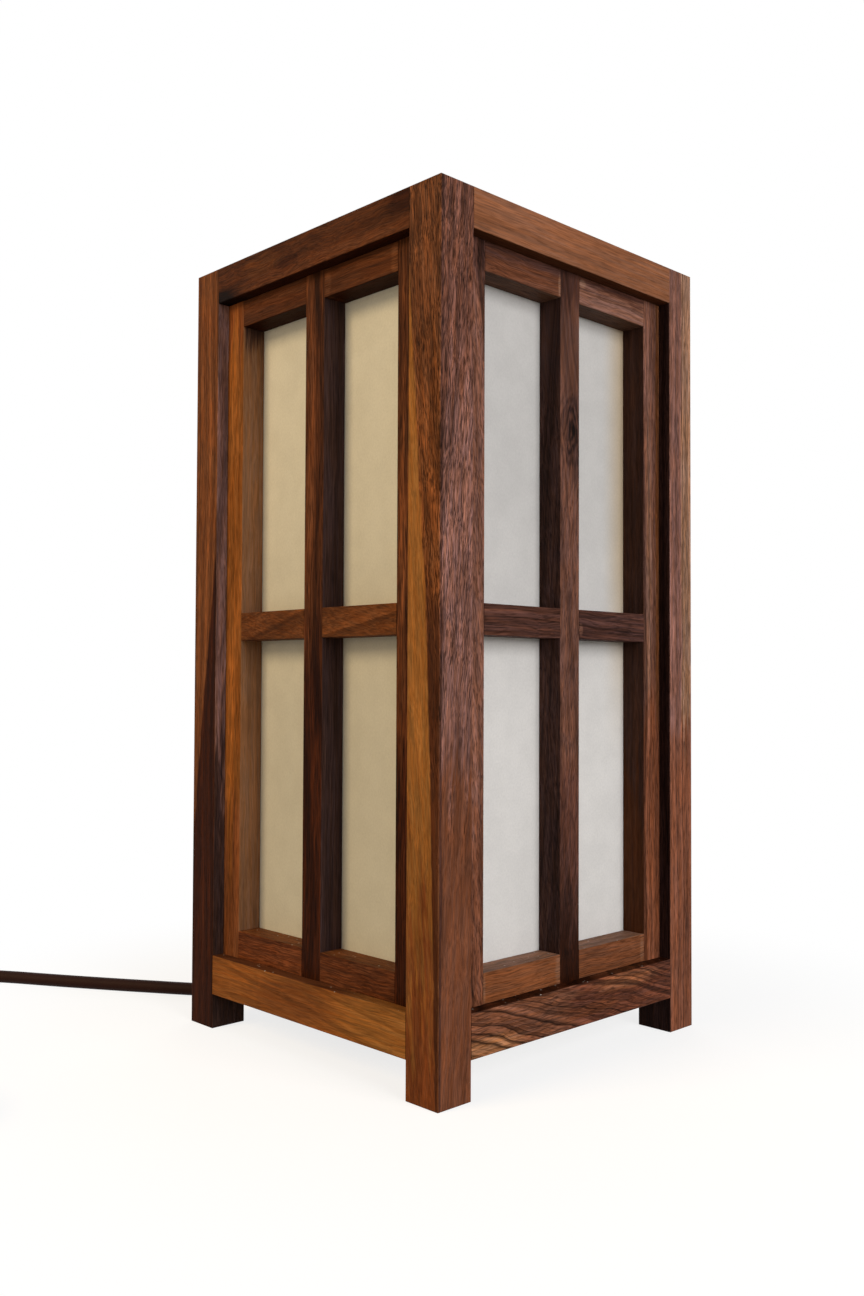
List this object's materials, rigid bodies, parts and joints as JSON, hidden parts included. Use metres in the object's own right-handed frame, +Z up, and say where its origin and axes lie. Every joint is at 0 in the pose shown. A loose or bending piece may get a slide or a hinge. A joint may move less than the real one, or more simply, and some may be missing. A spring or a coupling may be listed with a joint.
{
  "type": "table lamp",
  "caption": "Square wooden table lamp with a stick lattice over plain paper on its sides, an open top and base, a screw-in bulb inside and a cord with a rocker switch and plug.",
  "frame": {"origin": "on the floor, under the middle of the lamp's square footprint", "axes": "+Z up along the posts, -Y out of the front, +X to the right as seen from the front; the cord leaves under the back rail towards -X"},
  "size_m": [0.4061, 0.3483, 0.375],
  "materials": {
    "post_wood": "walnut, oiled, satin",
    "top_rail_wood": "walnut, oiled, satin",
    "bottom_rail_wood": "walnut, oiled, satin",
    "lattice_wood": "walnut, oiled, satin",
    "crossbar_wood": "walnut, oiled, satin",
    "shade_paper": "plain fibrous paper, matt, translucent",
    "screw_steel": "zinc plated",
    "holder_ceramic": "white glaze",
    "contact_brass": "drawn brass",
    "wire_insulation": "smooth insulation",
    "bulb_cap_metal": "rolled thread, satin",
    "bulb_insulator": "glossy black insulator",
    "bulb_plastic": "moulded, fine texture",
    "bulb_diffuser": "frosted, translucent",
    "grip_plastic": "moulded, fine texture",
    "sleeve_rubber": "soft matt rubber",
    "cord_jacket": "dark brown flexible jacket",
    "switch_plastic": "dark brown, moulded",
    "rocker_plastic": "dark brown, smooth",
    "plug_plastic": "dark brown, moulded"
  },
  "bodies": {
    "lamp": {"front_left_post": "post_wood", "front_right_post": "post_wood", "back_right_post": "post_wood", "back_left_post": "post_wood", "front_top_rail": "top_rail_wood", "front_bottom_rail": "bottom_rail_wood", "front_left_stile": "lattice_wood", "front_right_stile": "lattice_wood", "front_muntin": "lattice_wood", "front_top_stick": "lattice_wood", "front_mid_stick": "lattice_wood", "front_bottom_stick": "lattice_wood", "front_paper": "shade_paper", "right_top_rail": "top_rail_wood", "right_bottom_rail": "bottom_rail_wood", "right_left_stile": "lattice_wood", "right_right_stile": "lattice_wood", "right_muntin": "lattice_wood", "right_top_stick": "lattice_wood", "right_mid_stick": "lattice_wood", "right_bottom_stick": "lattice_wood", "right_paper": "shade_paper", "back_top_rail": "top_rail_wood", "back_bottom_rail": "bottom_rail_wood", "back_left_stile": "lattice_wood", "back_right_stile": "lattice_wood", "back_muntin": "lattice_wood", "back_top_stick": "lattice_wood", "back_mid_stick": "lattice_wood", "back_bottom_stick": "lattice_wood", "back_paper": "shade_paper", "left_top_rail": "top_rail_wood", "left_bottom_rail": "bottom_rail_wood", "left_left_stile": "lattice_wood", "left_right_stile": "lattice_wood", "left_muntin": "lattice_wood", "left_top_stick": "lattice_wood", "left_mid_stick": "lattice_wood", "left_bottom_stick": "lattice_wood", "left_paper": "shade_paper", "crossbar": "crossbar_wood", "wood_screws": "screw_steel", "holder_body": "holder_ceramic", "holder_shell": "contact_brass", "holder_contact": "contact_brass", "holder_leads": "wire_insulation", "cord_grip": "grip_plastic", "cord_sleeve": "sleeve_rubber", "cord_lead": "cord_jacket", "switch_base": "switch_plastic", "switch_cover": "switch_plastic", "cord_coil": "cord_jacket", "plug_body": "plug_plastic", "plug_blades": "contact_brass"},
    "bulb": {"bulb_cap": "bulb_cap_metal", "bulb_contact": "bulb_insulator", "bulb_housing": "bulb_plastic", "bulb_globe": "bulb_diffuser"},
    "rocker": {"switch_rocker": "rocker_plastic"}
  },
  "joints": [
    {"name": "bulb_lift", "type": "slide", "parent": "lamp", "child": "bulb", "axis": [0, 0, 1], "range_m": [0, 0.33]},
    {"name": "rocker_turn", "type": "hinge", "parent": "lamp", "child": "rocker", "pos_m": [-0.281, 0.144, 0.0185], "axis": [0.9135, -0.4067, 0], "range_deg": [0, 16]}
  ]
}
